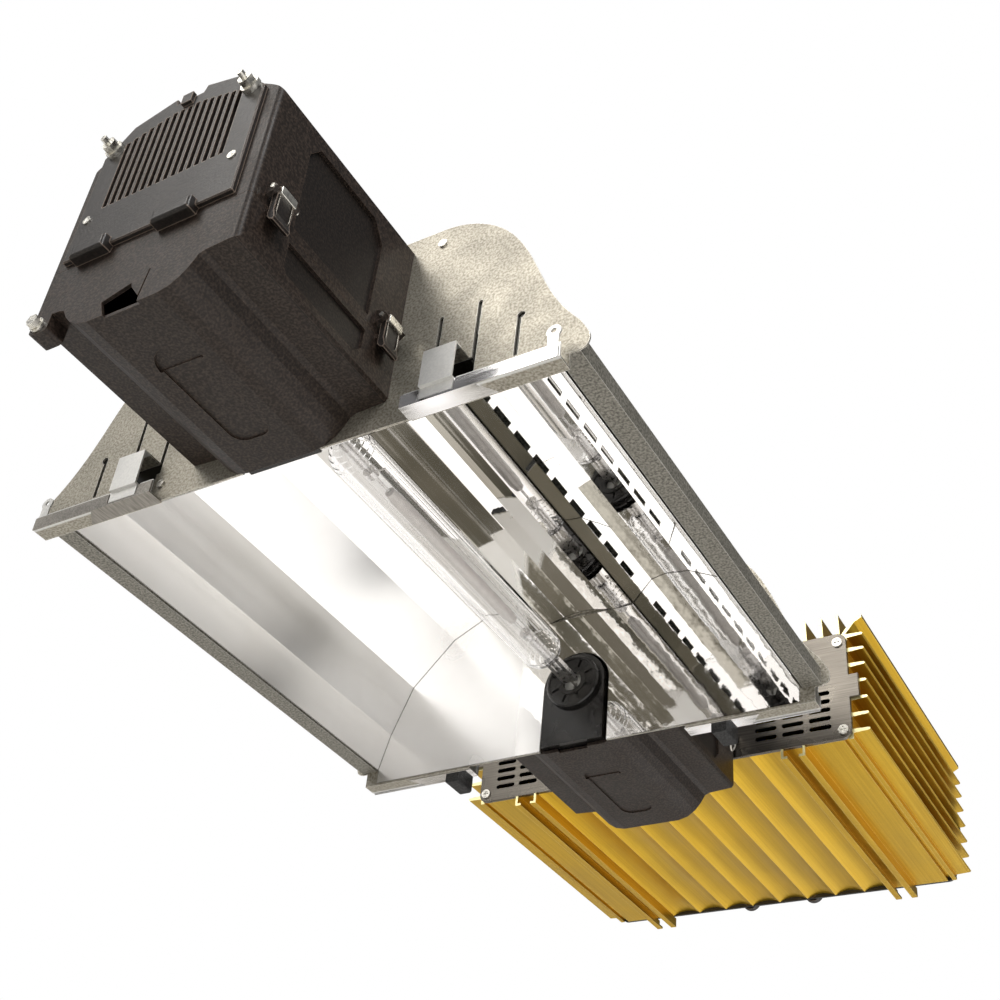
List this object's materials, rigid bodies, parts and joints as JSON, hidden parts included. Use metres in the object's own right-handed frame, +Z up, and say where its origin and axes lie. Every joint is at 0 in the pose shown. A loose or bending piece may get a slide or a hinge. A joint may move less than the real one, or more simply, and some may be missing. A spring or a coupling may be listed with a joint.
{
  "type": "grow lamp",
  "caption": "Hanging double-ended grow lamp: ventilated lamp housing, open mirror reflector with a tubular lamp, and a finned gold ballast in line.",
  "frame": {"origin": "centre of the front hanger eye", "axes": "+X across the lamp along the eye's bore, +Y from the ventilated housing towards the ballast, +Z up"},
  "size_m": [0.4132, 0.9835, 0.2246],
  "materials": {
    "galvanised": "speckled galvanised sheet, matt",
    "rail_steel": "galvanised sheet, grey",
    "bright_trim": "bright polished strip",
    "mirror_sheet": "polished aluminium reflector sheet",
    "zinc": "bright zinc plated",
    "rubber_black": "matt",
    "lamp_glass": "clear quartz",
    "arc_ceramic": "translucent arc tube",
    "lamp_metal": "nickel wire",
    "holder_black": "black, slightly glossy",
    "holder_ceramic": "unglazed",
    "housing_plastic": "fine grained charcoal brown",
    "vent_black": "fine grained near black",
    "gold_anodised": "gold anodised, satin extrusion",
    "dark_steel": "dark satin sheet",
    "black_sheet": "black painted",
    "board_green": "circuit board",
    "iron_core": "laminated",
    "copper_coil": "enamelled winding",
    "capacitor_can": "sleeved cans",
    "brass_standoff": "turned"
  },
  "bodies": {
    "lamp_body": {"arc_tube": "arc_ceramic", "ballast_base": "gold_anodised", "ballast_plate_far": "black_sheet", "ballast_plate_near": "dark_steel", "ballast_screws": "zinc", "ballast_shell": "gold_anodised", "board_standoffs": "brass_standoff", "capacitors": "capacitor_can", "choke_coil": "copper_coil", "choke_core": "iron_core", "circuit_board": "board_green", "control_socket": "vent_black", "corner_screws": "zinc", "end_plate_far": "galvanised", "end_plate_near": "galvanised", "fan_frame": "vent_black", "far_box": "housing_plastic", "far_clamps": "rubber_black", "hanger_bolts": "zinc", "hanger_front": "zinc", "hanger_rear": "zinc", "holder_bezel_far": "holder_black", "holder_bezel_near": "holder_black", "holder_block_far": "holder_ceramic", "holder_block_near": "holder_ceramic", "hood_shell": "rail_steel", "ignitor": "holder_black", "lamp_end_far": "lamp_metal", "lamp_end_near": "lamp_metal", "lamp_envelope": "lamp_glass", "lamp_frame": "lamp_metal", "latch_pins": "zinc", "mains_gland": "vent_black", "mirror_end_far": "mirror_sheet", "mirror_end_near": "mirror_sheet", "near_box": "housing_plastic", "neck_bolts": "zinc", "plate_rivets": "zinc", "reflector_centre": "mirror_sheet", "reflector_left": "mirror_sheet", "reflector_right": "mirror_sheet", "shroud_far": "holder_black", "shroud_near": "holder_black", "terminal_strip": "holder_ceramic", "trim_far_left": "bright_trim", "trim_far_right": "bright_trim", "trim_near_left": "bright_trim", "trim_near_right": "bright_trim", "vent_plate": "vent_black", "vent_screws": "zinc"},
    "near_cover_body": {"near_cover": "housing_plastic", "cover_screw": "zinc"},
    "far_cover_body": {"far_cover": "housing_plastic"},
    "fan_body": {"fan_rotor": "vent_black"},
    "latch_near_front_left_body": {"latch_near_front_left": "vent_black"},
    "latch_near_front_right_body": {"latch_near_front_right": "vent_black"},
    "latch_near_back_left_body": {"latch_near_back_left": "vent_black"},
    "latch_near_back_right_body": {"latch_near_back_right": "vent_black"},
    "latch_far_left_body": {"latch_far_left": "vent_black"},
    "latch_far_right_body": {"latch_far_right": "vent_black"}
  },
  "joints": [
    {"name": "near_cover_slide", "type": "slide", "parent": "lamp_body", "child": "near_cover_body", "axis": [0, 0, -1], "range_m": [0, 0.08]},
    {"name": "far_cover_slide", "type": "slide", "parent": "lamp_body", "child": "far_cover_body", "axis": [0, 0, -1], "range_m": [0, 0.08]},
    {"name": "fan_spin", "type": "hinge", "parent": "lamp_body", "child": "fan_body", "pos_m": [0, -0.1884, -0.089], "axis": [0, 1, 0], "continuous": true},
    {"name": "latch_near_front_left_turn", "type": "hinge", "parent": "lamp_body", "child": "latch_near_front_left_body", "pos_m": [-0.0792, -0.182, -0.137], "axis": [0, 1, 0], "range_deg": [0, 100]},
    {"name": "latch_near_front_right_turn", "type": "hinge", "parent": "lamp_body", "child": "latch_near_front_right_body", "pos_m": [0.0792, -0.182, -0.137], "axis": [0, -1, 0], "range_deg": [0, 100]},
    {"name": "latch_near_back_left_turn", "type": "hinge", "parent": "lamp_body", "child": "latch_near_back_left_body", "pos_m": [-0.0792, -0.076, -0.137], "axis": [0, 1, 0], "range_deg": [0, 100]},
    {"name": "latch_near_back_right_turn", "type": "hinge", "parent": "lamp_body", "child": "latch_near_back_right_body", "pos_m": [0.0792, -0.076, -0.137], "axis": [0, -1, 0], "range_deg": [0, 100]},
    {"name": "latch_far_left_turn", "type": "hinge", "parent": "lamp_body", "child": "latch_far_left_body", "pos_m": [-0.0792, 0.3342, -0.137], "axis": [0, 1, 0], "range_deg": [0, 100]},
    {"name": "latch_far_right_turn", "type": "hinge", "parent": "lamp_body", "child": "latch_far_right_body", "pos_m": [0.0792, 0.3342, -0.137], "axis": [0, -1, 0], "range_deg": [0, 100]}
  ]
}
